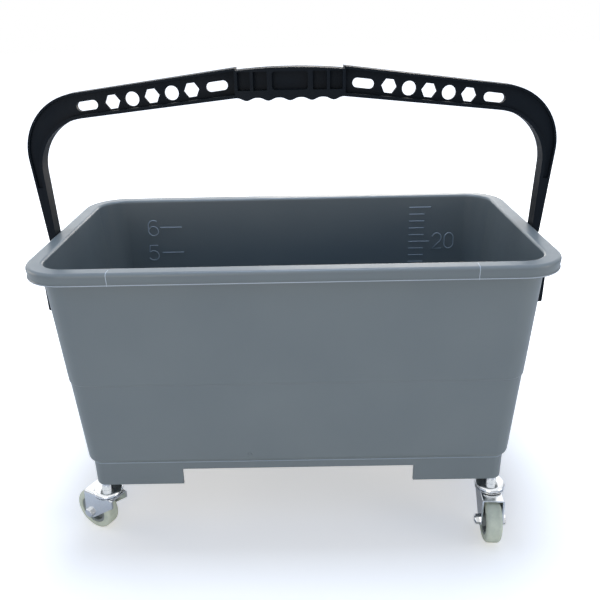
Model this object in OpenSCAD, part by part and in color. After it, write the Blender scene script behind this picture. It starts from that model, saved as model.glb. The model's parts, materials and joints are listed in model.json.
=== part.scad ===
/* [Tub] */
// Length of the rim, outside to outside
rim_length = 519; // [480:1:560]
// Width of the rim, outside to outside
rim_width = 276; // [250:1:300]
// Corner radius of the rim, seen from above
rim_corner = 44; // [38:1:54]
// Height of the skirt that turns down round the rim
skirt_height = 12.5; // [9:0.5:18]
// Thickness of the skirt
skirt_wall = 2.6; // [2:0.1:4]
// How far the rim stands out past the wall
overhang = 13.3; // [10:0.1:16]
// Thickness of the wall and floor
wall = 3; // [2:0.1:4]
// Draft of the walls, as a slope
draft = 0.057; // [0.02:0.001:0.07]
// Depth from the rim to the moulded step half way down
mid_drop = 132; // [100:1:160]
// Size of that step
mid_step = 1; // [0.5:0.1:2]
// Depth from the rim to the underside of the floor
floor_drop = 235; // [210:1:250]
// Radius of the tub's lower edge
sole_radius = 8; // [5:0.5:11]

/* [Foot] */
// Height of the foot skirt under the floor
foot_height = 30; // [26:1:40]
// How far the foot skirt is set in from the wall
foot_recess = 4; // [2:0.5:5]
// Length of the gap in each long side of the foot
notch_length = 256; // [180:1:300]
// Height of that gap
notch_height = 20; // [10:0.5:24]
// Foot left outside the socket boss of each stem
stem_cover = 1.3; // [0.8:0.1:3]
// Direction from the foot's corner centre to the stem, 0 along the tub and 90 across it
stem_turn = 72; // [0:1:90]
// Radius of the socket boss round each stem
boss_radius = 6.2; // [6:0.1:6.4]

/* [Bail handle] */
// Height of the handle's top above the rim
bail_rise = 167; // [150:1:200]
// How far the handle's arms stand out past the rim's ends
bail_bulge = 16.3; // [13:0.1:24]
// Depth of the handle at the grip, front to back
bail_depth = 24; // [20:1:32]
// Depth of the handle at the arms
arm_depth = 17; // [12:1:20]
// Thickness of the web between the flanges
web_wall = 3; // [2:0.1:4]
// Thickness of the upper and outer flange
flange_wall = 2.2; // [2:0.1:4]
// Thickness of the lower and inner flange
inner_flange = 3.3; // [2:0.1:4]
// Height of the beam beside the grip
beam_height = 28.6; // [24:0.2:34]
// Slope of the beam's top, in degrees
beam_fall = 7.54; // [4:0.1:10]
// Outer corner radius of the handle
corner_outer = 63; // [50:1:70]
// Inner corner radius of the handle
corner_inner = 55; // [40:1:58]
// Thickness of the flat end straps
strap_wall = 3; // [2:0.1:4]
// Gap between the rim and the straps
strap_gap = 5.2; // [4.4:0.1:8]
// How far the foot of each arm swells in towards the rim
foot_swell = 3.2; // [0:0.1:3.4]
// Width of the open frame at the foot of each strap
paddle_width = 95; // [70:1:110]
// Thickness of the frame's strands
strand = 2.4; // [2:0.1:5]
// Depth from the rim to the end of the frame
paddle_drop = 77; // [60:1:90]
// Depth from the rim to the pivot
pivot_drop = 38; // [32:1:46]
// Radius of the pivot pins
pivot_radius = 5; // [4:0.1:7]
// Running clearance of the pivot, on the radius
pivot_clearance = 0.05; // [0.02:0.01:0.1]

/* [Grip] */
// Length of the grip
grip_length = 109; // [90:1:110]
// Spacing of the finger bumps
finger_pitch = 22; // [18:1:26]
// Height of the finger bumps
finger_height = 3; // [1:0.1:4]
// How far the grip's ends lie under the beam's top
grip_step = 2.4; // [1:0.1:4]
// Depth of the pockets in each face of the grip
pocket_depth = 8; // [4:0.5:10]
// Diameter of the round holes
hole_size = 14.3; // [10:0.1:17]
// Size of the six-sided holes, across flats
hex_size = 13.6; // [10:0.1:17]
// Spacing of the round and six-sided holes
hole_pitch = 20.45; // [19:0.05:22]
// Length of the slots
slot_length = 22; // [16:0.5:24]
// Height of the slots
slot_height = 9.5; // [8:0.5:13]

/* [Casters] */
// Diameter of the wheels
wheel_diameter = 50; // [44:1:52]
// Width of the tyres
wheel_width = 17; // [14:1:18]
// Height from the floor to the underside of the foot
caster_height = 70; // [69:0.5:80]
// How far the axle trails behind the stem
trail = 22; // [18:0.5:25]
// Sheet thickness of the fork
fork_sheet = 2; // [1.5:0.1:2.5]
// Space between the fork's legs
fork_gap = 20.5; // [20:0.1:23]
// Radius of the swivel cap
cap_radius = 16.6; // [14:0.1:18]
// Radius of the stem
stem_radius = 4.25; // [4:0.05:4.5]
// Length of the stem inside its boss
stem_length = 22; // [16:0.5:24]
// Radius of the axle bolt
axle_radius = 3; // [2.5:0.1:3.5]
// Balls in each swivel race
ball_count = 12; // [8:1:14]
// Running clearance of the axles and swivels, on the radius
running = 0.05; // [0.02:0.01:0.1]

/* [Hidden] */
$fn = 64;
eps = 0.01;

tub_grey = [0.42, 0.46, 0.48];
bail_black = [0.1, 0.12, 0.15];
zinc = [0.8, 0.81, 0.83];
tyre_grey = [0.66, 0.7, 0.63];
core_grey = [0.5, 0.52, 0.5];

// Heights above the floor that the wheels stand on
foot_z = caster_height;
floor_z = foot_z + foot_height;
rim_z = floor_z + floor_drop;
mid_z = rim_z - mid_drop;
pivot_z = rim_z - pivot_drop;

// The tub's corners turn about four upright lines, this far from the middle
corner_x = rim_length / 2 - rim_corner;
corner_y = rim_width / 2 - rim_corner;

// Outside of the wall at a height, measured out from a corner line
function wall_out(z) = rim_corner - overhang - draft * (rim_z - z) - (z < mid_z ? mid_step : 0);

// Points along an arc of a circle
function arc(cx, cy, r, a0, a1, n) =
    [for (i = [0 : n]) let (a = a0 + (a1 - a0) * i / n) [cx + r * cos(a), cy + r * sin(a)]];

rim_round = 3.5;
lip_round = 3;
bead_out = 0.7;
bead_height = 1.4;
foot_out = wall_out(floor_z) - foot_recess;
sole_z = floor_z + sole_radius;
sole_turn = acos((foot_out - wall_out(sole_z) + sole_radius) / sole_radius);
basin_round = sole_radius - wall + 1;
basin_z = floor_z + wall + basin_round;

// The section of the tub, from the floor's underside out and up to the rim and back down inside
tub_section = concat(
    [[0, floor_z], [foot_out - wall, floor_z], [foot_out - wall, foot_z], [foot_out, foot_z]],
    arc(wall_out(sole_z) - sole_radius, sole_z, sole_radius, -sole_turn, 0, 5),
    [[wall_out(mid_z - eps), mid_z], [wall_out(mid_z), mid_z + mid_step]],
    [[wall_out(rim_z - wall), rim_z - wall], [rim_corner - skirt_wall, rim_z - wall]],
    [[rim_corner - skirt_wall, rim_z - skirt_height], [rim_corner, rim_z - skirt_height]],
    [[rim_corner, rim_z - skirt_height + bead_height]],
    [[rim_corner - bead_out, rim_z - skirt_height + bead_height + bead_out]],
    arc(rim_corner - rim_round, rim_z - rim_round, rim_round, 0, 90, 5),
    arc(wall_out(rim_z - wall), rim_z - lip_round, lip_round, 90, 180, 5),
    arc(wall_out(basin_z) - wall - basin_round, basin_z, basin_round, 0, -90, 4),
    [[0, floor_z + wall]]);

module section_run(length) {
    rotate([90, 0, 0])
        linear_extrude(height = length, center = true)
            polygon(tub_section);
}

module tub_shell() {
    for (side = [0, 180]) {
        rotate(side) translate([corner_x, 0, 0]) section_run(2 * corner_y);
        rotate(side + 90) translate([corner_y, 0, 0]) section_run(2 * corner_x);
        rotate(side) translate([corner_x, corner_y, 0])
            rotate_extrude(angle = 90) polygon(tub_section);
        rotate(side) translate([-corner_x, corner_y, 0]) rotate(90)
            rotate_extrude(angle = 90) polygon(tub_section);
    }
    translate([-corner_x, -corner_y, floor_z]) cube([2 * corner_x, 2 * corner_y, wall]);
}

// Ribs under the floor stay above the gaps in the foot, so that they don't show through them
rib_wall = 2.2;
rib_height = foot_height - notch_height - 2;
rib_pitch = 84;

module floor_ribs() {
    inner_x = corner_x + foot_out - wall / 2;
    inner_y = corner_y + foot_out - wall / 2;
    for (x = [-2 : 2])
        translate([x * rib_pitch - rib_wall / 2, -inner_y, floor_z - rib_height])
            cube([rib_wall, 2 * inner_y, rib_height + wall / 2]);
    for (y = [-1, 1])
        translate([-inner_x, y * rib_pitch / 2 - rib_wall / 2, floor_z - rib_height])
            cube([2 * inner_x, rib_wall, rib_height + wall / 2]);
}

// The stems stand in the corners of the foot
stem_lead = foot_out - boss_radius - stem_cover;
stem_x = corner_x + stem_lead * cos(stem_turn);
stem_y = corner_y + stem_lead * sin(stem_turn);

module stem_places() {
    for (x = [-1, 1])
        for (y = [-1, 1])
            translate([x * stem_x, y * stem_y, 0])
                children();
}

// The pivot stands out of each end wall, under the rim
strap_in = rim_length / 2 + strap_gap;
pivot_face = strap_in - 0.3;
boss_root = 17;
boss_tip = 11;
pivot_depth = 16;
wall_face = corner_x + wall_out(pivot_z);

// A gusset runs down the wall under the boss
gusset_drop = 34;
module pivot_boss() {
    translate([wall_face - wall / 2, 0, pivot_z]) rotate([0, 90, 0])
        cylinder(h = pivot_face - wall_face + wall / 2, r1 = boss_root, r2 = boss_tip);
    translate([wall_face - wall / 2, 0, pivot_z]) rotate([90, 0, 0])
        linear_extrude(height = rib_wall, center = true)
            polygon([[0, 0], [pivot_face - wall_face - wall, 0],
                [pivot_face - wall_face - wall, 1 - boss_tip], [0, -gusset_drop]]);
}

module tub() color(tub_grey) difference() {
    union() {
        tub_shell();
        floor_ribs();
        stem_places() translate([0, 0, foot_z]) cylinder(h = foot_height + wall / 2, r = boss_radius);
        pivot_boss();
        rotate(180) pivot_boss();
    }
    for (side = [-1, 1])
        translate([-notch_length / 2, side * (corner_y + foot_out) - 10, foot_z - 1])
            cube([notch_length, 20, notch_height + 1]);
    stem_places() translate([0, 0, foot_z - 1])
        cylinder(h = stem_length + 2, r = stem_radius + running);
    for (side = [-1, 1])
        translate([side * (pivot_face - pivot_depth), 0, pivot_z]) rotate([0, side * 90, 0])
            cylinder(h = pivot_depth + 1, r = pivot_radius + 0.02);
}

// Outline of the handle, one half, as height above the rim over distance from the middle
half_width = rim_length / 2 + bail_bulge;
strap_out = strap_in + strap_wall;
beam_end = grip_length / 2;
outer_cx = half_width - corner_outer;
outer_top = bail_rise - tan(beam_fall) * (outer_cx - beam_end);
outer_cz = outer_top - corner_outer + 0.5;
arm_lean = 5.7;
arm_in = strap_in - foot_swell;
inner_cx = strap_in - foot_swell / 2 + 0.1 - corner_inner;
inner_fall = 6.33;
inner_start = bail_rise - beam_height;
inner_top = inner_start - tan(inner_fall) * (inner_cx - beam_end);
inner_cz = inner_top - corner_inner + 0.3;
strap_top = -8;
strap_root = -22;
arm_swell = 1.8;

function outer_edge(inset) = concat(
    [[beam_end, bail_rise - inset]],
    arc(outer_cx, outer_cz, corner_outer - inset, 90 - beam_fall, -arm_lean, 18));
function inner_edge(inset) = concat(
    arc(inner_cx, inner_cz, corner_inner + inset, 0, 90 - inner_fall, 18),
    [[beam_end, inner_start + inset]]);

half_outline = concat(
    outer_edge(0),
    [[strap_out + arm_swell, strap_top], [strap_out, strap_top - 5]],
    [[strap_out, strap_root], [strap_in, strap_root], [strap_in, strap_top - 6], [arm_in, strap_top - 1]],
    inner_edge(0));

grip_crown = 2.6;
function grip_under(x) = inner_start - finger_height * pow((1 + cos(360 * x / finger_pitch)) / 2, 1.5);
grip_outline = concat(
    [for (i = [-12 : 12]) let (x = i / 12 * beam_end)
        [x, bail_rise - grip_step + grip_crown * (1 - pow(x / beam_end, 2))]],
    [for (i = [-25 : 25]) let (x = -i / 25 * beam_end) [x, grip_under(x)]]);

// The recess between the flanges, open to the front and the back
recess_side = 1.2;
recess_foot = 50;
arm_root = strap_out + arm_swell;
function arm_out(z) = arm_root + (half_width - arm_root) * (z - strap_top) / (outer_cz - strap_top);
function arm_inside(z) = arm_in + (inner_cx + corner_inner - arm_in) * (z - strap_top) / (inner_cz - strap_top);
half_recess = concat(
    [[beam_end + recess_side, bail_rise - flange_wall - tan(beam_fall) * recess_side]],
    arc(outer_cx, outer_cz, corner_outer - flange_wall, 90 - beam_fall, -arm_lean, 18),
    [[arm_out(recess_foot) - flange_wall, recess_foot], [arm_inside(recess_foot) + inner_flange, recess_foot]],
    arc(inner_cx, inner_cz, corner_inner + inner_flange, 0, 90 - inner_fall, 18),
    [[beam_end + recess_side, inner_start + inner_flange - tan(inner_fall) * recess_side]]);

module upright(depth) {
    translate([0, 0, rim_z]) rotate([90, 0, 0])
        linear_extrude(height = depth, center = true)
            children();
}

module both_faces(depth) {
    for (side = [-1, 1])
        translate([0, side * (bail_depth / 2 - depth / 2 + 0.5), 0])
            upright(depth + 1)
                children();
}

// Seen from above, the handle narrows from the grip to the arms
taper_end = outer_cx - 13;
module bail_plan() {
    half = bail_depth / 2;
    arm = arm_depth / 2;
    right = [[beam_end + 1.5, -half], [taper_end, -arm], [half_width + 2, -arm],
        [half_width + 2, arm], [taper_end, arm], [beam_end + 1.5, half]];
    left = [for (p = right) -p];
    translate([0, 0, rim_z - 20]) linear_extrude(height = bail_rise + 30)
        polygon(concat(right, left));
}

// The web grows thicker round the corners and down the arms
arm_web = 11;
web_start = outer_cx - 43;
web_full = strap_in - 3;
module thick_web() {
    translate([0, 0, rim_z]) linear_extrude(height = bail_rise)
        polygon([[web_start, -0.5], [web_full, -arm_web / 2], [half_width + 2, -arm_web / 2],
            [half_width + 2, arm_web / 2], [web_full, arm_web / 2], [web_start, 0.5]]);
}

// Below the rim each strap opens out into a frame of thin strands, with a hub round the pivot
frame_corner = 4;
frame_slope = 0.35;
hub_ring = 13.5;
strap_half = arm_depth / 2;
frame_top = -16;
function frame_edge(y) = frame_top - frame_slope * (y - strap_half);

module frame_window() {
    side = paddle_width / 2 - strand;
    low = strand - paddle_drop;
    high = -strand / cos(atan(frame_slope));
    polygon(concat(
        [[strap_half, low]],
        arc(side - 2, low + 2, 2, -90, 0, 4),
        [[side, frame_edge(side - 2) + high - 2], [side - 2, frame_edge(side - 2) + high]],
        [[strap_half, frame_edge(strap_half) + high]]));
}

module strap_frame() {
    half = paddle_width / 2;
    outline = concat(
        [[strap_half, frame_top], [half - frame_corner, frame_edge(half - frame_corner)]],
        [[half, frame_edge(half - frame_corner) - frame_corner]],
        arc(half - frame_corner, frame_corner - paddle_drop, frame_corner, 0, -90, 6));
    mirrored = [for (i = [len(outline) - 1 : -1 : 0]) [-outline[i][0], outline[i][1]]];
    translate([strap_in, 0, rim_z]) rotate([90, 0, 90]) linear_extrude(height = strap_wall)
        difference() {
            polygon(concat(outline, mirrored));
            difference() {
                union() {
                    frame_window();
                    mirror([1, 0]) frame_window();
                }
                translate([0, -pivot_drop]) circle(r = hub_ring);
            }
        }
}

// Places of the holes along each beam, with slots at both ends
hole_line = bail_rise - beam_height / 2 - 0.8;
slot_shift = 5.8;
last_slot = outer_cx - 4.35;
first_slot = beam_end + slot_length / 2 + 6;
hole_count = floor((last_slot - first_slot - 2 * slot_shift) / hole_pitch) - 1;
hole_start = last_slot - slot_shift - hole_count * hole_pitch;
hole_fall = 6.95;
function hole_height(x) = hole_line - tan(hole_fall) * (x - beam_end);

module beam_holes() {
    for (i = [0 : hole_count - 1]) {
        x = hole_start + i * hole_pitch;
        translate([x, hole_height(x)])
            if (i % 2 == 0)
                rotate(-hole_fall) circle(d = hex_size / cos(30), $fn = 6);
            else
                circle(d = hole_size);
    }
    for (x = [hole_start - hole_pitch - slot_shift, last_slot])
        translate([x, hole_height(x)]) rotate(-hole_fall) {
            square([slot_length - slot_height, slot_height], center = true);
            for (end = [-1, 1])
                translate([end * (slot_length - slot_height) / 2, 0]) circle(d = slot_height);
        }
}

// Pockets of the grip: [from, to], one half, and the middle one with round corners
pocket_low = inner_start + 7.2;
pocket_high = bail_rise - grip_step - 1.3;
side_pockets = [[23, 36.8], [40, 52.6]];
middle_pocket = 18;
pocket_round = 3;

module grip_pockets() {
    for (p = side_pockets)
        translate([p[0], pocket_low - 0.2]) square([p[1] - p[0], pocket_high - pocket_low + 0.2]);
}

module middle_pocket_outline() {
    high = pocket_high - pocket_low;
    for (x = [-1, 1])
        for (z = [0, 1])
            translate([x * (middle_pocket - pocket_round), pocket_low + pocket_round + z * (high - 2 * pocket_round)])
                circle(r = pocket_round);
    translate([-middle_pocket, pocket_low + pocket_round]) square([2 * middle_pocket, high - 2 * pocket_round]);
    translate([pocket_round - middle_pocket, pocket_low]) square([2 * (middle_pocket - pocket_round), high]);
}

module handle() color(bail_black) difference() {
    union() {
        intersection() {
            union() {
                upright(bail_depth + 2) polygon(half_outline);
                mirror([1, 0, 0]) upright(bail_depth + 2) polygon(half_outline);
                upright(bail_depth + 2) polygon(grip_outline);
            }
            bail_plan();
        }
        strap_frame();
        mirror([1, 0, 0]) strap_frame();
    }
    for (side = [0, 1]) mirror([side, 0, 0]) {
        difference() {
            both_faces((bail_depth - web_wall) / 2) polygon(half_recess);
            thick_web();
        }
        upright(bail_depth) beam_holes();
        both_faces(pocket_depth) grip_pockets();
        translate([strap_in - 1, 0, pivot_z]) rotate([0, 90, 0])
            cylinder(h = strap_wall + 2, r = pivot_radius + pivot_clearance);
    }
    both_faces(pocket_depth) middle_pocket_outline();
}

// A shouldered pin holds each frame's hub to its boss
pin_head = 10;
pin_head_height = 3;
module pivot_pin() color(bail_black)
    translate([pivot_face - pivot_depth + 0.5, 0, pivot_z]) rotate([0, 90, 0]) {
        pin_length = strap_out + 0.3 - pivot_face + pivot_depth - 0.5;
        cylinder(h = pin_length, r = pivot_radius);
        translate([0, 0, pin_length]) rotate_extrude()
            polygon(concat([[0, 0], [pin_head, 0], [pin_head, 1]],
                arc(pin_head - 2, 1, 2, 0, 90, 4), [[0, pin_head_height + 0.4]]));
    }

// Each caster: [side along, side across, the way its wheel trails]
casters = [[-1, -1, 150], [1, -1, -94], [-1, 1, 86], [1, 1, -30]];
module at_caster(i) {
    translate([casters[i][0] * stem_x, casters[i][1] * stem_y, 0])
        rotate(casters[i][2])
            children();
}

wheel_r = wheel_diameter / 2;
axle_z = wheel_r;
crown_z = wheel_diameter + 2.6;
crown_top = crown_z + fork_sheet + 0.4;
ball_radius = 2;
race_radius = cap_radius - 4.3;
ball_z = crown_top + ball_radius + 0.2;
cap_in = ball_z + ball_radius + 0.2;
cap_sheet = 1.5;
cap_top = cap_in + cap_sheet;
king_radius = 4;
collar_radius = 6.5;
king_head = 6.5;

// The stem: a king pin through the race, a collar, and the shank that the boss grips
ring_z = foot_z + stem_length * 0.6;
ring_height = 3;
ring_depth = 0.6;
module stem() color(zinc) rotate_extrude() polygon([
    [0, crown_z - 3], [king_head - 1, crown_z - 3], [king_head, crown_z - 2],
    [king_head, crown_z - 0.3], [king_radius, crown_z - 0.3], [king_radius, cap_top],
    [collar_radius, cap_top], [collar_radius, foot_z], [stem_radius, foot_z],
    [stem_radius, ring_z], [stem_radius - ring_depth, ring_z],
    [stem_radius - ring_depth, ring_z + ring_height], [stem_radius, ring_z + ring_height],
    [stem_radius, foot_z + stem_length - 1.5], [stem_radius - 1.5, foot_z + stem_length],
    [0, foot_z + stem_length]]);

module grip_ring() color(zinc) rotate_extrude(angle = 320)
    translate([stem_radius - ring_depth, ring_z + 0.1]) square([ring_depth, ring_height - 0.2]);

module swivel_cap() color(zinc) rotate_extrude() polygon(concat(
    [[king_radius, cap_in], [race_radius + 0.8, cap_in], [cap_radius - cap_sheet, ball_z + 0.8],
        [cap_radius - cap_sheet, ball_z - 0.4], [cap_radius, ball_z - 0.4]],
    arc(cap_radius - 3.6, cap_top - 3.6, 3.6, 0, 90, 6),
    [[king_radius, cap_top]]));

module ball_ring() color(zinc)
    for (i = [0 : ball_count - 1])
        rotate(i * 360 / ball_count) translate([race_radius, 0, ball_z]) sphere(r = ball_radius);

// Side view of the fork: a hood over the wheel that narrows to the axle
leg_end = 7.5;
hood_front = -15.5;
hood_back = trail + 5;
hood_low = crown_z - 8;
lean = atan2(axle_z - hood_low, trail - hood_front);
reach = norm([trail - hood_front, axle_z - hood_low]);
touch = lean - asin(leg_end / reach) - 90;
fork_half = fork_gap / 2 + fork_sheet;
bend = 3;

module fork_channel() {
    translate([hood_front - 1, 0, 0]) rotate([90, 0, 90]) linear_extrude(height = hood_back - hood_front + 10)
        difference() {
            polygon(concat([[-fork_half, 0], [fork_half, 0]],
                arc(fork_half - bend, crown_z + fork_sheet - bend, bend, 0, 90, 5),
                arc(bend - fork_half, crown_z + fork_sheet - bend, bend, 90, 180, 5)));
            translate([-fork_gap / 2, -1]) square([fork_gap, crown_z + 1]);
        }
}

module fork_side() {
    rotate([90, 0, 0]) linear_extrude(height = 2 * fork_half + 2, center = true)
        polygon(concat(
            [[hood_front, crown_z + fork_sheet + 1], [hood_front, hood_low]],
            arc(trail, axle_z, leg_end, touch, 0, 9),
            [[hood_back, crown_z - 1], [hood_back, crown_z + fork_sheet + 1]]));
}

module fork() color(zinc) difference() {
    union() {
        intersection() {
            fork_channel();
            fork_side();
        }
        translate([0, 0, crown_z]) cylinder(h = crown_top - crown_z, r = cap_radius - 0.6);
    }
    translate([0, 0, crown_z - 1]) cylinder(h = crown_top - crown_z + 2, r = king_radius + running);
    translate([trail, 0, axle_z]) rotate([90, 0, 0])
        cylinder(h = 2 * fork_half + 2, r = axle_radius + running, center = true);
}

bolt_across = 10;
bolt_head = 3.6;
nut_height = 5;
module hexagon(h) {
    cylinder(h = h, d = bolt_across / cos(30), $fn = 6);
}

module axle_bolt() color(zinc) translate([trail, 0, axle_z]) rotate([-90, 0, 0]) {
    translate([0, 0, -fork_half - nut_height - 1]) cylinder(h = 2 * fork_half + nut_height + 1, r = axle_radius);
    translate([0, 0, fork_half]) intersection() {
        hexagon(bolt_head);
        cylinder(h = bolt_head, r1 = bolt_across, r2 = bolt_across / 2 - 0.2);
    }
}

module axle_nut() color(zinc) translate([trail, 0, axle_z]) rotate([90, 0, 0])
    translate([0, 0, fork_half]) difference() {
        intersection() {
            hexagon(nut_height);
            cylinder(h = nut_height, r1 = bolt_across, r2 = bolt_across / 2 - 0.2);
        }
        translate([0, 0, -1]) cylinder(h = nut_height + 2, r = axle_radius + 0.02);
    }

sleeve_radius = axle_radius + 1.5;
module axle_sleeve() color(zinc) translate([trail, 0, axle_z]) rotate([90, 0, 0]) difference() {
    cylinder(h = fork_gap - 0.1, r = sleeve_radius, center = true);
    cylinder(h = fork_gap + 2, r = axle_radius + running, center = true);
}

// The wheel: a moulded core on the sleeve, and a soft tyre on the core
tread_depth = 8;
core_radius = wheel_r - tread_depth;
hub_half = fork_gap / 2 - 0.6;
hub_radius = 8;
core_half = wheel_width / 2 - 1;
web_half = 2.5;
rim_depth = 3;
shoulder = 4;

module wheel_core() color(core_grey) translate([trail, 0, axle_z]) rotate([90, 0, 0])
    rotate_extrude() polygon([
        [sleeve_radius + running, -hub_half], [hub_radius, -hub_half], [hub_radius, -web_half],
        [core_radius - rim_depth, -web_half], [core_radius - rim_depth, -core_half], [core_radius, -core_half],
        [core_radius, core_half], [core_radius - rim_depth, core_half], [core_radius - rim_depth, web_half],
        [hub_radius, web_half], [hub_radius, hub_half], [sleeve_radius + running, hub_half]]);

module tyre() color(tyre_grey) translate([trail, 0, axle_z]) rotate([90, 0, 0])
    rotate_extrude() polygon(concat(
        [[core_radius, -wheel_width / 2 + 0.6], [core_radius + 0.6, -wheel_width / 2]],
        arc(wheel_r - shoulder, -wheel_width / 2 + shoulder, shoulder, -90, 0, 6),
        arc(wheel_r - shoulder, wheel_width / 2 - shoulder, shoulder, 0, 90, 6),
        [[core_radius + 0.6, wheel_width / 2], [core_radius, wheel_width / 2 - 0.6]]));

tub();
handle();
rotate(180) pivot_pin();  // pivot_pin_left
pivot_pin();  // pivot_pin_right
for (i = [0 : 3]) at_caster(i) grip_ring();  // stem_grip_rings
for (i = [0 : 3]) at_caster(i) ball_ring();  // race_balls
at_caster(0) stem();  // stem_front_left
at_caster(1) stem();  // stem_front_right
at_caster(2) stem();  // stem_rear_left
at_caster(3) stem();  // stem_rear_right
at_caster(0) swivel_cap();  // swivel_cap_front_left
at_caster(1) swivel_cap();  // swivel_cap_front_right
at_caster(2) swivel_cap();  // swivel_cap_rear_left
at_caster(3) swivel_cap();  // swivel_cap_rear_right
at_caster(0) fork();  // fork_front_left
at_caster(1) fork();  // fork_front_right
at_caster(2) fork();  // fork_rear_left
at_caster(3) fork();  // fork_rear_right
at_caster(0) axle_bolt();  // axle_bolt_front_left
at_caster(1) axle_bolt();  // axle_bolt_front_right
at_caster(2) axle_bolt();  // axle_bolt_rear_left
at_caster(3) axle_bolt();  // axle_bolt_rear_right
at_caster(0) axle_nut();  // axle_nut_front_left
at_caster(1) axle_nut();  // axle_nut_front_right
at_caster(2) axle_nut();  // axle_nut_rear_left
at_caster(3) axle_nut();  // axle_nut_rear_right
at_caster(0) axle_sleeve();  // axle_sleeve_front_left
at_caster(1) axle_sleeve();  // axle_sleeve_front_right
at_caster(2) axle_sleeve();  // axle_sleeve_rear_left
at_caster(3) axle_sleeve();  // axle_sleeve_rear_right
at_caster(0) wheel_core();  // wheel_core_front_left
at_caster(1) wheel_core();  // wheel_core_front_right
at_caster(2) wheel_core();  // wheel_core_rear_left
at_caster(3) wheel_core();  // wheel_core_rear_right
at_caster(0) tyre();  // tyre_front_left
at_caster(1) tyre();  // tyre_front_right
at_caster(2) tyre();  // tyre_rear_left
at_caster(3) tyre();  // tyre_rear_right
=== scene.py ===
import json
import math

import bmesh
import bpy
from mathutils import Matrix, Vector


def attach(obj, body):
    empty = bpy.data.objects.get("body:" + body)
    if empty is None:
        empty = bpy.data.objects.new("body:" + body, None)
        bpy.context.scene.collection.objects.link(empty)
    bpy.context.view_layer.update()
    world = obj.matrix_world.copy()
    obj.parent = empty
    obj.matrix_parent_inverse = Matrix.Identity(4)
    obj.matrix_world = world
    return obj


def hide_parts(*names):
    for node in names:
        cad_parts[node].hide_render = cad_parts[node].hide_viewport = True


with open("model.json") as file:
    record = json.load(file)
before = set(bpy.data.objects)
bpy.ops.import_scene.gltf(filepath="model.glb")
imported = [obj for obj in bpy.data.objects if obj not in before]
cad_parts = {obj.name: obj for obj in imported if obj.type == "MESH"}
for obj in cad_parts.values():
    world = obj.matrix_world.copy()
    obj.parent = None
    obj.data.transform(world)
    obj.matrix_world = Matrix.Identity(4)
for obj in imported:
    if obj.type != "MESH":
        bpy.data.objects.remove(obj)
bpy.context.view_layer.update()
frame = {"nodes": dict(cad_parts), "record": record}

# %% [markdown]
# A window washing trolley is a long grey bucket on four small swivel casters. The window cleaner
# dips a long applicator in it, lifts it by its black bail handle, and rolls it along the glass.
# The solids of the tub, the handle and every caster part are already in the frame that was just
# loaded. This lesson gives them their surfaces and adds what is too fine for the solids: softened
# edges, the raised scales inside the tub, the moulding's seams, and the light to see them by.

# %% Sizes that the lesson needs, in metres
MM = 0.001
RIM_Z = 335 * MM            # height of the rim's flat top above the floor
STEP_DROP = 132 * MM        # the moulded step lies this far under the rim
STEP = 1 * MM
CORNER_X = 215.5 * MM       # the tub's corners turn about four upright lines
CORNER_Y = 94 * MM
RIM_R = 44 * MM             # corner radius of the rim
OVERHANG = 13.3 * MM        # the rim stands out past the wall by this
WALL = 3 * MM
DRAFT = 0.057               # slope of the walls
SKIRT = 12.5 * MM           # height of the rim's skirt


def wall_radius(drop):
    """Outside of the wall at a depth under the rim, measured from a corner line."""
    step = STEP if drop > STEP_DROP else 0
    return RIM_R - OVERHANG - DRAFT * drop - step


# %% [markdown]
# ## Colour and nodes
# A colour picked from a swatch is written for a screen (sRGB), and the renderer computes with
# linear light. One function turns the first into the second, so that every colour below can be
# written as the hex value a painter would pick. Another adds one shader node, with its settings
# and its links, so that each material below reads as a list of its steps.


# %% Colour and node helpers
def linear(hex_colour, alpha=1.0):
    """Turns an sRGB hex colour into the linear RGBA that shaders take."""
    channels = [int(hex_colour[i:i + 2], 16) / 255 for i in (1, 3, 5)]
    return [c / 12.92 if c <= 0.04045 else ((c + 0.055) / 1.055) ** 2.4 for c in channels] + [alpha]


def add_node(tree, kind, inputs=None, **settings):
    """Adds one node, sets its properties, and sets or links its inputs."""
    made = tree.nodes.new(kind)
    for name, value in settings.items():
        setattr(made, name, value)
    for key, value in (inputs or {}).items():
        if isinstance(value, bpy.types.NodeSocket):
            tree.links.new(value, made.inputs[key])
        else:
            made.inputs[key].default_value = value
    return made


def new_material(name):
    """A new material with its tree and its Principled shader."""
    material = bpy.data.materials.new(name)
    material.use_nodes = True
    return material, material.node_tree, material.node_tree.nodes["Principled BSDF"]


def per_metre(millimetres):
    """Scale of a texture whose features are this many millimetres across."""
    return 1000 / millimetres


print("mid grey of #808080 is", round(linear("#808080")[0], 3))
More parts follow.
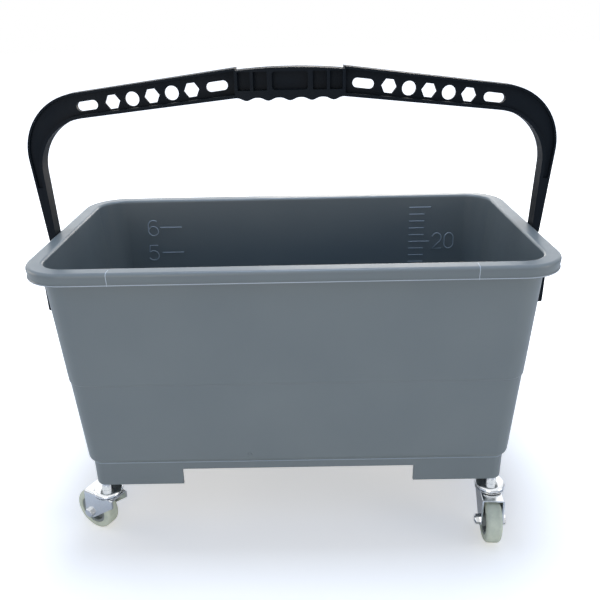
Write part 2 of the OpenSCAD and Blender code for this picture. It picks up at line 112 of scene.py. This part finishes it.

# %% [markdown]
# ## Moulded polypropylene
# The tub is injection-moulded polypropylene, a tough plastic with a soft, slightly waxy gloss. It
# leaves a polished steel mould almost smooth, so what the eye reads is a broad, blurred highlight,
# faint clouds where the melt flowed, and a very shallow orange peel. A flat colour would look like
# paper, and an image of scratches would repeat. Noise at three real sizes gives the same on any
# side of the tub: clouds of 90 mm, smears of 14 mm in the gloss, and 1.6 mm peel in the bump. Two
# paler tones of the plastic are painted highlight: a lighter one for what stands proud inside and
# for the foot's ledge, whose tops catch the light, and the palest for thin edges and seams outside.


# %% Material: satin grey polypropylene
def grey_polypropylene(name, deep, pale):
    material, tree, shader = new_material(name)
    place = add_node(tree, "ShaderNodeTexCoord").outputs["Object"]
    clouds = add_node(tree, "ShaderNodeTexNoise",
                      {"Vector": place, "Scale": per_metre(90), "Detail": 2.0, "Roughness": 0.45})
    colour = add_node(tree, "ShaderNodeMix", {
        "Factor": clouds.outputs["Fac"], "A": linear(deep), "B": linear(pale)}, data_type="RGBA")
    tree.links.new(colour.outputs["Result"], shader.inputs["Base Color"])
    smears = add_node(tree, "ShaderNodeTexNoise",
                      {"Vector": place, "Scale": per_metre(14), "Detail": 3.0, "Roughness": 0.5})
    gloss = add_node(tree, "ShaderNodeMapRange", {
        "Value": smears.outputs["Fac"], "From Min": 0.3, "From Max": 0.7, "To Min": 0.3, "To Max": 0.37})
    tree.links.new(gloss.outputs["Result"], shader.inputs["Roughness"])
    peel = add_node(tree, "ShaderNodeTexNoise",
                    {"Vector": place, "Scale": per_metre(1.6), "Detail": 1.0})
    bump = add_node(tree, "ShaderNodeBump", {
        "Height": peel.outputs["Fac"], "Strength": 0.1, "Distance": 0.00002})
    tree.links.new(bump.outputs["Normal"], shader.inputs["Normal"])
    shader.inputs["IOR"].default_value = 1.49
    shader.inputs["Specular IOR Level"].default_value = 0.45
    return material


tub_plastic = grey_polypropylene("satin_grey_polypropylene", "#737a79", "#7d8380")
# Painted highlight: a paler tone of the same plastic, for raised beads whose tops catch the light.
highlight_pale_plastic = grey_polypropylene("painted_highlight_grey_polypropylene", "#9ba6ad", "#a9b3b8")
# Painted highlight: the palest tone, for thin outer edges and seams that catch the light.
edge_highlight_plastic = grey_polypropylene("painted_edge_highlight_polypropylene", "#b6bdc0", "#c4cacc")
print("made", tub_plastic.name + ",", highlight_pale_plastic.name, "and", edge_highlight_plastic.name)

# %% [markdown]
# ## Dyed polypropylene with a grain
# The bail handle is the same family of plastic, dyed a near-black blue and moulded in a mould with
# a spark-eroded grain, which keeps wet hands from slipping. The grain scatters the light, so the
# black never mirrors: it shows wide grey sheens on its rounded edges. The grain is drawn at
# 0.9 mm, a little coarser than the real one, so that it still shows from arm's length.


# %% Material: grained black polypropylene
def black_polypropylene():
    material, tree, shader = new_material("grained_black_polypropylene")
    place = add_node(tree, "ShaderNodeTexCoord").outputs["Object"]
    wear = add_node(tree, "ShaderNodeTexNoise",
                    {"Vector": place, "Scale": per_metre(35), "Detail": 3.0})
    colour = add_node(tree, "ShaderNodeMix", {
        "Factor": wear.outputs["Fac"], "A": linear("#0c131a"), "B": linear("#111920")}, data_type="RGBA")
    tree.links.new(colour.outputs["Result"], shader.inputs["Base Color"])
    gloss = add_node(tree, "ShaderNodeMapRange", {
        "Value": wear.outputs["Fac"], "From Min": 0.3, "From Max": 0.7, "To Min": 0.48, "To Max": 0.6})
    tree.links.new(gloss.outputs["Result"], shader.inputs["Roughness"])
    grain = add_node(tree, "ShaderNodeTexVoronoi",
                     {"Vector": place, "Scale": per_metre(0.9), "Randomness": 1.0})
    bump = add_node(tree, "ShaderNodeBump", {
        "Height": grain.outputs["Distance"], "Strength": 0.25, "Distance": 0.00008})
    tree.links.new(bump.outputs["Normal"], shader.inputs["Normal"])
    shader.inputs["IOR"].default_value = 1.49
    shader.inputs["Specular IOR Level"].default_value = 0.12
    return material


bail_plastic = black_polypropylene()
print("made", bail_plastic.name)

# %% [markdown]
# ## Bright zinc plate
# Caster forks are pressed from mild steel sheet and barrel-plated with bright zinc. Zinc is a real
# metal, so the shader's metallic is 1 and the colour is the tint of its reflection: a light grey
# with a trace of blue. Plating is never perfectly even. Blurry spots of a few millimetres vary the
# roughness, and that is what tells it from polished chrome.


# %% Material: bright zinc plate
def zinc_plated_steel():
    material, tree, shader = new_material("bright_zinc_plate")
    place = add_node(tree, "ShaderNodeTexCoord").outputs["Object"]
    clouds = add_node(tree, "ShaderNodeTexNoise",
                      {"Vector": place, "Scale": per_metre(6), "Detail": 2.0})
    colour = add_node(tree, "ShaderNodeMix", {
        "Factor": clouds.outputs["Fac"], "A": linear("#d3d8de"), "B": linear("#e6e8e9")}, data_type="RGBA")
    tree.links.new(colour.outputs["Result"], shader.inputs["Base Color"])
    gloss = add_node(tree, "ShaderNodeMapRange", {
        "Value": clouds.outputs["Fac"], "From Min": 0.3, "From Max": 0.7, "To Min": 0.14, "To Max": 0.26})
    tree.links.new(gloss.outputs["Result"], shader.inputs["Roughness"])
    dimples = add_node(tree, "ShaderNodeTexNoise",
                       {"Vector": place, "Scale": per_metre(0.8), "Detail": 1.0})
    bump = add_node(tree, "ShaderNodeBump", {
        "Height": dimples.outputs["Fac"], "Strength": 0.15, "Distance": 0.00004})
    tree.links.new(bump.outputs["Normal"], shader.inputs["Normal"])
    shader.inputs["Metallic"].default_value = 1.0
    return material


zinc = zinc_plated_steel()
print("made", zinc.name)

# %% [markdown]
# ## Thermoplastic rubber and the wheel's core
# The tyres are grey thermoplastic rubber, moulded over a stiff polypropylene core. Rubber that
# marks no floors is full of pale filler, which makes it chalky: a high roughness, hardly any
# highlight, and a faint green. Its tread picks up dust, so a coarse noise darkens it in patches.


# %% Materials: tyre and core
def moulded_grey(name, light, dark, patch, roughness, grain):
    material, tree, shader = new_material(name)
    place = add_node(tree, "ShaderNodeTexCoord").outputs["Object"]
    patches = add_node(tree, "ShaderNodeTexNoise",
                       {"Vector": place, "Scale": per_metre(patch), "Detail": 4.0, "Roughness": 0.55})
    spread = add_node(tree, "ShaderNodeMapRange", {
        "Value": patches.outputs["Fac"], "From Min": 0.35, "From Max": 0.65})
    colour = add_node(tree, "ShaderNodeMix", {
        "Factor": spread.outputs["Result"], "A": linear(dark), "B": linear(light)}, data_type="RGBA")
    tree.links.new(colour.outputs["Result"], shader.inputs["Base Color"])
    tooth = add_node(tree, "ShaderNodeTexNoise",
                     {"Vector": place, "Scale": per_metre(grain), "Detail": 2.0})
    bump = add_node(tree, "ShaderNodeBump", {
        "Height": tooth.outputs["Fac"], "Strength": 0.3, "Distance": 0.00008})
    tree.links.new(bump.outputs["Normal"], shader.inputs["Normal"])
    shader.inputs["Roughness"].default_value = roughness
    return material


tyre_rubber = moulded_grey("grey_thermoplastic_rubber", "#d8dbc2", "#c9cdb5", 9, 0.6, 0.6)
core_plastic = moulded_grey("grey_core_polypropylene", "#8a8f89", "#7f847f", 12, 0.45, 0.8)
print("made", tyre_rubber.name, "and", core_plastic.name)

# %% [markdown]
# ## Softened edges
# No moulded or pressed edge is knife-sharp. A sharp edge catches no light, and gives a model away
# at once. Each solid is copied, its flat triangles are joined back into whole faces, and a bevel
# rounds every edge by the radius that its process leaves. The bevel only takes material away, so
# the copy stays inside the solid that it stands for.

# %% Which surface each part has, and how round its edges are
FINISHES = {
    "tub": (tub_plastic, "tub_plastic", 0.5 * MM),
    "handle": (bail_plastic, "bail_plastic", 0.55 * MM),
    "pivot_pin": (bail_plastic, "bail_plastic", 0.3 * MM),
    "stem_grip_rings": (zinc, "zinc_plate", 0),
    "race_balls": (zinc, "zinc_plate", 0),
    "stem": (zinc, "zinc_plate", 0.25 * MM),
    "swivel_cap": (zinc, "zinc_plate", 0.25 * MM),
    "fork": (zinc, "zinc_plate", 0.35 * MM),
    "axle_bolt": (zinc, "zinc_plate", 0.25 * MM),
    "axle_nut": (zinc, "zinc_plate", 0.25 * MM),
    "axle_sleeve": (zinc, "zinc_plate", 0),
    "wheel_core": (core_plastic, "core_plastic", 0.3 * MM),
    "tyre": (tyre_rubber, "tyre_rubber", 0),
}


def finish_of(node):
    """The longest name in FINISHES that the node's own name starts with."""
    return FINISHES[max((key for key in FINISHES if node.startswith(key)), key=len)]


def set_material(obj, material):
    obj.data.materials.clear()
    obj.data.materials.append(material)


# %% Copy a solid and round its edges
FLAT = math.radians(0.6)
SHARP = math.radians(32)


def whole_faces(mesh):
    """Joins split corners and flat triangles, and shades the faces smoothly."""
    bm = bmesh.new()
    bm.from_mesh(mesh)
    bmesh.ops.remove_doubles(bm, verts=bm.verts, dist=2e-6)
    bmesh.ops.dissolve_limit(bm, angle_limit=FLAT, verts=bm.verts, edges=bm.edges)
    for face in bm.faces:
        face.smooth = True
    bm.to_mesh(mesh)
    bm.free()


def soften(node, radius):
    """A copy of the solid with rounded edges, which stands for it on the same body."""
    solid = frame["nodes"][node]
    copy = bpy.data.objects.new(node + "_finished", solid.data.copy())
    bpy.context.scene.collection.objects.link(copy)
    whole_faces(copy.data)
    if radius:
        bevel = copy.modifiers.new("edge", "BEVEL")
        bevel.width = radius
        bevel.segments = 2
        bevel.limit_method = "ANGLE"
        bevel.angle_limit = SHARP
        bevel.harden_normals = False
        bevel.use_clamp_overlap = True
    copy.modifiers.new("normals", "WEIGHTED_NORMAL").keep_sharp = True
    body = [name for name, nodes in frame["record"]["behaviour"]["bodies"].items() if node in nodes][0]
    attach(copy, body)
    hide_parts(node)
    return copy


for node in sorted(frame["nodes"]):
    material, slot_name, radius = finish_of(node)
    copy = soften(node, radius)
    set_material(copy, material)
print("softened", len(frame["nodes"]), "solids")

# %% [markdown]
# ## The raised scales
# Two scales are engraved in the mould's core, so they stand proud on the inside of the back wall:
# a litre scale on the right, with a tick for each litre and a long one every five, and a gallon
# scale on the left. They are placed as the photograph shows them, and do not measure this model's
# own volume. They could be painted or cut with a boolean, but a raised line is simplest as
# what it is: a thin half-round bead laid on the wall. A digit is a bead that follows its own curve.

# %% A bead laid along points on the inside of the back wall
BEAD = 0.75 * MM
LITRE = 9.0 * MM            # the marks lie this far apart
BEAD_SIDES = 8


def on_back_wall(x, drop):
    """A point on the inner face of the back wall, at a depth under the rim."""
    return Vector((x, CORNER_Y + wall_radius(drop) - WALL, RIM_Z - drop))


def bead(bm, points, radius, closed=False, facing=Vector((0, -1, 0))):
    """Sweeps a round bead along the points, on a face that looks one way, and domes its ends."""
    count = len(points)
    rings = []
    for i, point in enumerate(points):
        ahead = points[(i + 1) % count] if closed or i < count - 1 else points[i]
        behind = points[i - 1] if closed or i > 0 else points[i]
        along = (ahead - behind).normalized()
        side = along.cross(facing).normalized()
        out = side.cross(along).normalized()
        ring = []
        for k in range(BEAD_SIDES):
            turn = 2 * math.pi * k / BEAD_SIDES
            ring.append(bm.verts.new(point + radius * (math.cos(turn) * side + math.sin(turn) * out)))
        rings.append(ring)
    pairs = list(zip(rings, rings[1:])) + ([(rings[-1], rings[0])] if closed else [])
    for a, b in pairs:
        for k in range(BEAD_SIDES):
            bm.faces.new((a[k], a[(k + 1) % BEAD_SIDES], b[(k + 1) % BEAD_SIDES], b[k]))
    if not closed:
        for ring, end, other in ((rings[0], points[0], points[1]), (rings[-1], points[-1], points[-2])):
            tip = bm.verts.new(end + (end - other).normalized() * radius * 0.8)
            for k in range(BEAD_SIDES):
                bm.faces.new((ring[k], ring[(k + 1) % BEAD_SIDES], tip))


# %% The shapes of the digits, in a box one wide and one high
def bow(cx, cy, rx, ry, start, end, steps=14):
    """Points along an arc of an ellipse, from one angle to another in degrees."""
    angles = [math.radians(start + (end - start) * i / steps) for i in range(steps + 1)]
    return [(cx + rx * math.cos(a), cy + ry * math.sin(a)) for a in angles]


DIGITS = {
    "0": (bow(0.5, 0.68, 0.5, 0.32, 0, 180) + bow(0.5, 0.32, 0.5, 0.32, 180, 360), True),
    "2": (bow(0.5, 0.7, 0.48, 0.3, 165, -20) + [(0.8, 0.45), (0.02, 0.0), (1.0, 0.0)], False),
    "5": ([(0.92, 1.0), (0.2, 1.0), (0.1, 0.56)] + bow(0.47, 0.32, 0.48, 0.32, 130, -150), False),
    "6": (bow(0.55, 0.66, 0.5, 0.34, 55, 180) + [(0.05, 0.4)]
          + bow(0.5, 0.3, 0.45, 0.3, 180, 540, 22), False),
}


def digit(bm, figure, x, drop, width, height):
    """Lays one digit on the wall, with its lower left corner at x and at that depth."""
    shape, closed = DIGITS[figure]
    points = [on_back_wall(x + u * width, drop - v * height) for u, v in shape]
    bead(bm, points, BEAD, closed)


# %% Build both scales
def finish_bead(bm, name, material, body):
    """Turns the beads into one object on a body."""
    bmesh.ops.recalc_face_normals(bm, faces=bm.faces)
    for face in bm.faces:
        face.smooth = True
    mesh = bpy.data.meshes.new(name)
    bm.to_mesh(mesh)
    bm.free()
    obj = bpy.data.objects.new(name, mesh)
    bpy.context.scene.collection.objects.link(obj)
    set_material(obj, material)
    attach(obj, body)
    return obj


def tick(bm, left, right, drop):
    steps = 4
    points = [on_back_wall(left + (right - left) * i / steps, drop) for i in range(steps + 1)]
    bead(bm, points, BEAD)


litres = bmesh.new()
FULL_DROP = 15.2 * MM       # the 25 litre mark
for litre in range(5, 26):
    drop = FULL_DROP + (25 - litre) * LITRE
    right = 174.6 * MM if litre % 5 == 0 else 167 * MM
    tick(litres, 148 * MM, right, drop)
digit(litres, "2", 178.5 * MM, 70 * MM, 12 * MM, 20.5 * MM)
digit(litres, "0", 194.5 * MM, 70 * MM, 11.5 * MM, 20.5 * MM)
# The scale's paler plastic is a painted highlight on the tops of its beads.
litre_scale = finish_bead(litres, "litre_scale", highlight_pale_plastic, "tub_body")

gallons = bmesh.new()
GALLON = 33.5 * MM
for gallon in range(2, 7):
    drop = 35.3 * MM + (6 - gallon) * GALLON
    tick(gallons, -174.6 * MM, -147.1 * MM, drop)
digit(gallons, "6", -191 * MM, 46 * MM, 14 * MM, 20 * MM)
digit(gallons, "5", -193 * MM, 79 * MM, 14 * MM, 20 * MM)
# The same painted highlight on the gallon scale's beads.
gallon_scale = finish_bead(gallons, "gallon_scale", highlight_pale_plastic, "tub_body")
print("scales hold", len(litre_scale.data.vertices) + len(gallon_scale.data.vertices), "points")

# %% [markdown]
# ## Edge beads, seams and the gate mark
# The skirt's lower edge ends in a small bead, and a like one marks the ledge where the foot begins.
# The rim is closed by sliding parts of the mould, and where two of them meet they leave a hair line
# across the rim. The melt comes in at a gate, which leaves a small round button low on the front.
# All of these are real relief on the product, so they are made as thin raised shapes here. The beads
# and the seams are drawn in paler plastic, a painted highlight for the light that their edges catch.

# %% The bead along the skirt's lower edge
EDGE_BEAD = 0.55 * MM
CORNER_STEPS = 24           # enough that no chord dips into the rim


def rim_loop(out, drop):
    """Points round the tub at a distance from its corner lines and a depth under the rim."""
    points = []
    for turn in range(4):
        sign_x, sign_y = ((1, 1), (-1, 1), (-1, -1), (1, -1))[turn]
        for step in range(CORNER_STEPS + 1):
            angle = math.radians(90 * turn + 90 * step / CORNER_STEPS)
            points.append(Vector((sign_x * CORNER_X + out * math.cos(angle),
                                  sign_y * CORNER_Y + out * math.sin(angle), RIM_Z - drop)))
    return points


edge = bmesh.new()
bead(edge, rim_loop(RIM_R - 0.35 * MM, SKIRT - 0.8 * MM), EDGE_BEAD, True, Vector((0, 0, 1)))
# The skirt bead's palest plastic is a painted highlight along the edge.
skirt_bead = finish_bead(edge, "skirt_bead", edge_highlight_plastic, "tub_body")

# %% The small ledge where the foot's band starts
SOLE_DROP = 235 * MM
FOOT_RECESS = 4 * MM
ledge = bmesh.new()
bead(ledge, rim_loop(wall_radius(SOLE_DROP) - FOOT_RECESS, SOLE_DROP + 0.3 * MM), EDGE_BEAD, True,
     Vector((0, 0, 1)))
# The ledge's paler plastic is a painted highlight along its upward face.
foot_ledge = finish_bead(ledge, "foot_ledge", highlight_pale_plastic, "tub_body")
print("beads run round the skirt and the foot")

# %% Seam lines across the rim
SEAM_X = 172 * MM
SEAM = 0.32 * MM
LIP_ROUND = 3 * MM          # radius at the rim's inner lip
RIM_ROUND = 3.5 * MM        # radius at the rim's outer edge
QUARTER_TURN = [math.radians(15 * i) for i in range(7)]


def rim_profile():
    """Points over the rim, from its inner lip to the skirt's lower edge, as (out, drop)."""
    lip = RIM_R - OVERHANG + 0.1 * MM
    points = [(lip + LIP_ROUND * (1 - math.cos(a)), LIP_ROUND * (1 - math.sin(a)))
              for a in QUARTER_TURN]
    points += [(RIM_R - RIM_ROUND + RIM_ROUND * math.sin(a), RIM_ROUND * (1 - math.cos(a)))
               for a in QUARTER_TURN]
    return points + [(RIM_R - 0.6 * MM, SKIRT - 2.4 * MM), (RIM_R, SKIRT - 1.4 * MM), (RIM_R, SKIRT)]


def seam(bm, x, side):
    """A hair line over the rim at x, on the front (side -1) or the back (side 1)."""
    points = [Vector((x, side * (CORNER_Y + out), RIM_Z - drop)) for out, drop in rim_profile()]
    rings = []
    for point in points:
        rings.append([bm.verts.new(point + Vector((dx, 0, 0))) for dx in (-SEAM, SEAM)])
    middle = []
    for i, point in enumerate(points):
        along = (points[min(i + 1, len(points) - 1)] - points[max(i - 1, 0)]).normalized()
        out = along.cross(Vector((1, 0, 0))) * -side
        middle.append(bm.verts.new(point + out.normalized() * SEAM * 0.7))
    for i in range(len(points) - 1):
        bm.faces.new((rings[i][0], rings[i + 1][0], middle[i + 1], middle[i]))
        bm.faces.new((middle[i], middle[i + 1], rings[i + 1][1], rings[i][1]))


seams = bmesh.new()
for x in (-SEAM_X, SEAM_X):
    for side in (-1, 1):
        seam(seams, x, side)
# The seams' palest plastic is a painted highlight on the hair lines.
rim_seams = finish_bead(seams, "rim_seams", edge_highlight_plastic, "tub_body")

# %% The gate's button
GATE_X = -51.7 * MM
GATE_DROP = 223.4 * MM
GATE_SIDES = 20
# Radius and height of each ring, from inside the wall to the button's face.
GATE_RINGS = [(2.4 * MM, -0.5 * MM), (2.4 * MM, 0.25 * MM), (2.0 * MM, 0.6 * MM), (0.8 * MM, 0.7 * MM)]
gate = bmesh.new()
front = Vector((GATE_X, -(CORNER_Y + wall_radius(GATE_DROP)), RIM_Z - GATE_DROP))
turns = [2 * math.pi * k / GATE_SIDES for k in range(GATE_SIDES)]
rings = []
for radius, lift in GATE_RINGS:
    ring = [Vector((radius * math.cos(t), -lift, radius * math.sin(t))) for t in turns]
    rings.append([gate.verts.new(front + offset) for offset in ring])
for a, b in zip(rings, rings[1:]):
    for k in range(GATE_SIDES):
        gate.faces.new((a[k], a[(k + 1) % GATE_SIDES], b[(k + 1) % GATE_SIDES], b[k]))
gate.faces.new(rings[0])
gate.faces.new(rings[-1])
gate_mark = finish_bead(gate, "gate_mark", tub_plastic, "tub_body")
print("seams and gate mark added")

# %% [markdown]
# ## The camera
# The photograph was taken from 0.7 m in front of the tub's middle and 0.55 m above the floor, looking
# down by about 23 degrees. A long lens from far away would make the tub's sides parallel; the real picture
# shows them closing towards the floor, so the camera has to stand as near as it did. Its place and
# angles were worked out from the tub's own corners.

# %% Camera
camera = bpy.data.objects.new("camera", bpy.data.cameras.new("camera"))
bpy.context.scene.collection.objects.link(camera)
CAMERA_PLACE = Vector((0.0104, -0.6972, 0.5489))
PITCH, YAW, ROLL = math.radians(23.51), math.radians(-0.411), math.radians(-1.217)
ahead = Vector((math.sin(YAW) * math.cos(PITCH), math.cos(YAW) * math.cos(PITCH), -math.sin(PITCH)))
right = Vector((math.cos(YAW), -math.sin(YAW), 0))
up = right.cross(ahead)
turned_right = math.cos(ROLL) * right + math.sin(ROLL) * up
turned_up = -math.sin(ROLL) * right + math.cos(ROLL) * up
camera.matrix_world = Matrix.Translation(CAMERA_PLACE) @ Matrix(
    (turned_right, turned_up, -ahead)).transposed().to_4x4()
camera.data.sensor_width = 36
camera.data.lens = 39.26
camera.data.clip_start = 0.01
camera.data.clip_end = 50
bpy.context.scene.camera = camera
print("camera stands", round((CAMERA_PLACE - Vector((0, 0, 0.25))).length, 3), "m from the tub")

# %% [markdown]
# ## Floor and light
# Catalogue pictures are taken on a white sweep under large soft lamps. A wide pale floor keeps the
# object's shadow and sends light back up under the rim. The world is white to the camera, and as a
# light it is the calm, faintly blue fill of a window, which is what lights the inside of the tub.
# In reflections it is a bright backdrop and ceiling over a dim horizon, so that bent metal shows
# light and dark bands. Four faintly warm lamps stand low on the four sides, each about as strong as
# the next, and a wide, cooler one hangs above, so that no side of the tub is left in the dark.


# %% Floor
def pale_floor():
    """White card that keeps a soft shadow near the object and runs out to plain white behind it."""
    material, tree, shader = new_material("pale_floor")
    tree.nodes.remove(shader)
    output = tree.nodes["Material Output"]
    card = add_node(tree, "ShaderNodeBsdfDiffuse", {"Color": linear("#f7f2e8")})
    place = add_node(tree, "ShaderNodeTexCoord").outputs["Object"]
    far = add_node(tree, "ShaderNodeVectorMath", {0: place}, operation="LENGTH")
    glow = add_node(tree, "ShaderNodeMapRange", {
        "Value": far.outputs["Value"], "From Min": 0.25, "From Max": 0.9, "To Min": 0.4, "To Max": 1.0})
    lift = add_node(tree, "ShaderNodeEmission", {
        "Color": linear("#ffffff"), "Strength": glow.outputs["Result"]})
    both = add_node(tree, "ShaderNodeAddShader", {0: card.outputs[0], 1: lift.outputs[0]})
    path = add_node(tree, "ShaderNodeLightPath")
    seen = add_node(tree, "ShaderNodeMixShader", {
        0: path.outputs["Is Camera Ray"], 1: card.outputs[0], 2: both.outputs[0]})
    tree.links.new(seen.outputs[0], output.inputs["Surface"])
    return material


FLOOR_HALF = 12.0
floor_mesh = bpy.data.meshes.new("floor")
floor_mesh.from_pydata([(-FLOOR_HALF, -FLOOR_HALF, 0), (FLOOR_HALF, -FLOOR_HALF, 0),
                        (FLOOR_HALF, FLOOR_HALF, 0), (-FLOOR_HALF, FLOOR_HALF, 0)], [], [(0, 1, 2, 3)])
floor = bpy.data.objects.new("floor", floor_mesh)
bpy.context.scene.collection.objects.link(floor)
set_material(floor, pale_floor())


# %% World and lamps
def soft_world():
    """White to the camera, a banded studio to mirrors, and a calm bluish grey as a light."""
    world = bpy.data.worlds.new("studio")
    world.use_nodes = True
    tree = world.node_tree
    path = add_node(tree, "ShaderNodeLightPath")
    place = add_node(tree, "ShaderNodeTexCoord").outputs["Generated"]
    parts = add_node(tree, "ShaderNodeSeparateXYZ", {"Vector": place})
    ceiling = add_node(tree, "ShaderNodeMapRange", {
        "Value": parts.outputs["Z"], "From Min": 0.1, "From Max": 0.45, "To Min": 0.3, "To Max": 1.25})
    backdrop = add_node(tree, "ShaderNodeMapRange", {
        "Value": parts.outputs["Y"], "From Min": 0.45, "From Max": 0.75, "To Min": 0.0, "To Max": 1.9})
    bands = add_node(tree, "ShaderNodeMath", {
        0: ceiling.outputs["Result"], 1: backdrop.outputs["Result"]}, operation="MAXIMUM")
    mirrored = add_node(tree, "ShaderNodeMix", {
        "Factor": path.outputs["Is Glossy Ray"], "A": 0.54, "B": bands.outputs["Value"]}, data_type="FLOAT")
    strength = add_node(tree, "ShaderNodeMix", {
        "Factor": path.outputs["Is Camera Ray"], "A": mirrored.outputs["Result"], "B": 1.0},
        data_type="FLOAT")
    tint = add_node(tree, "ShaderNodeMix", {
        "Factor": path.outputs["Is Diffuse Ray"], "A": linear("#ffffff"), "B": linear("#a6c4f5")},
        data_type="RGBA")
    sky = tree.nodes["Background"]
    tree.links.new(tint.outputs["Result"], sky.inputs["Color"])
    tree.links.new(strength.outputs["Result"], sky.inputs["Strength"])
    return world


LAMP_WARM = "#fff6ea"
LAMP_COOL = "#d3e4ff"
SIDE_TARGET = (0, 0, 0.2)
SIDE_SIZE = 0.9


def lamp(name, place, target, size, power, tint=LAMP_WARM):
    """A square soft lamp that faces its target."""
    data = bpy.data.lights.new(name, "AREA")
    data.color = linear(tint)[:3]
    data.size = size
    data.energy = power
    obj = bpy.data.objects.new(name, data)
    obj.location = place
    obj.rotation_euler = (Vector(target) - Vector(place)).to_track_quat("-Z", "Y").to_euler()
    bpy.context.scene.collection.objects.link(obj)
    return obj


bpy.context.scene.world = soft_world()
lamp("key_lamp", (-0.5, -2.0, 0.45), SIDE_TARGET, SIDE_SIZE, 9)
lamp("right_lamp", (1.9, -0.8, 0.5), SIDE_TARGET, SIDE_SIZE, 8)
lamp("left_lamp", (-1.9, 0.3, 0.5), SIDE_TARGET, SIDE_SIZE, 7)
lamp("back_lamp", (0.3, 2.0, 0.5), SIDE_TARGET, SIDE_SIZE, 9)
lamp("top_lamp", (0.0, 0.2, 3.2), (0, 0, 0.3), 0.8, 52, LAMP_COOL)
bpy.context.scene.view_settings.view_transform = "Standard"
print("lamps and world are in place")
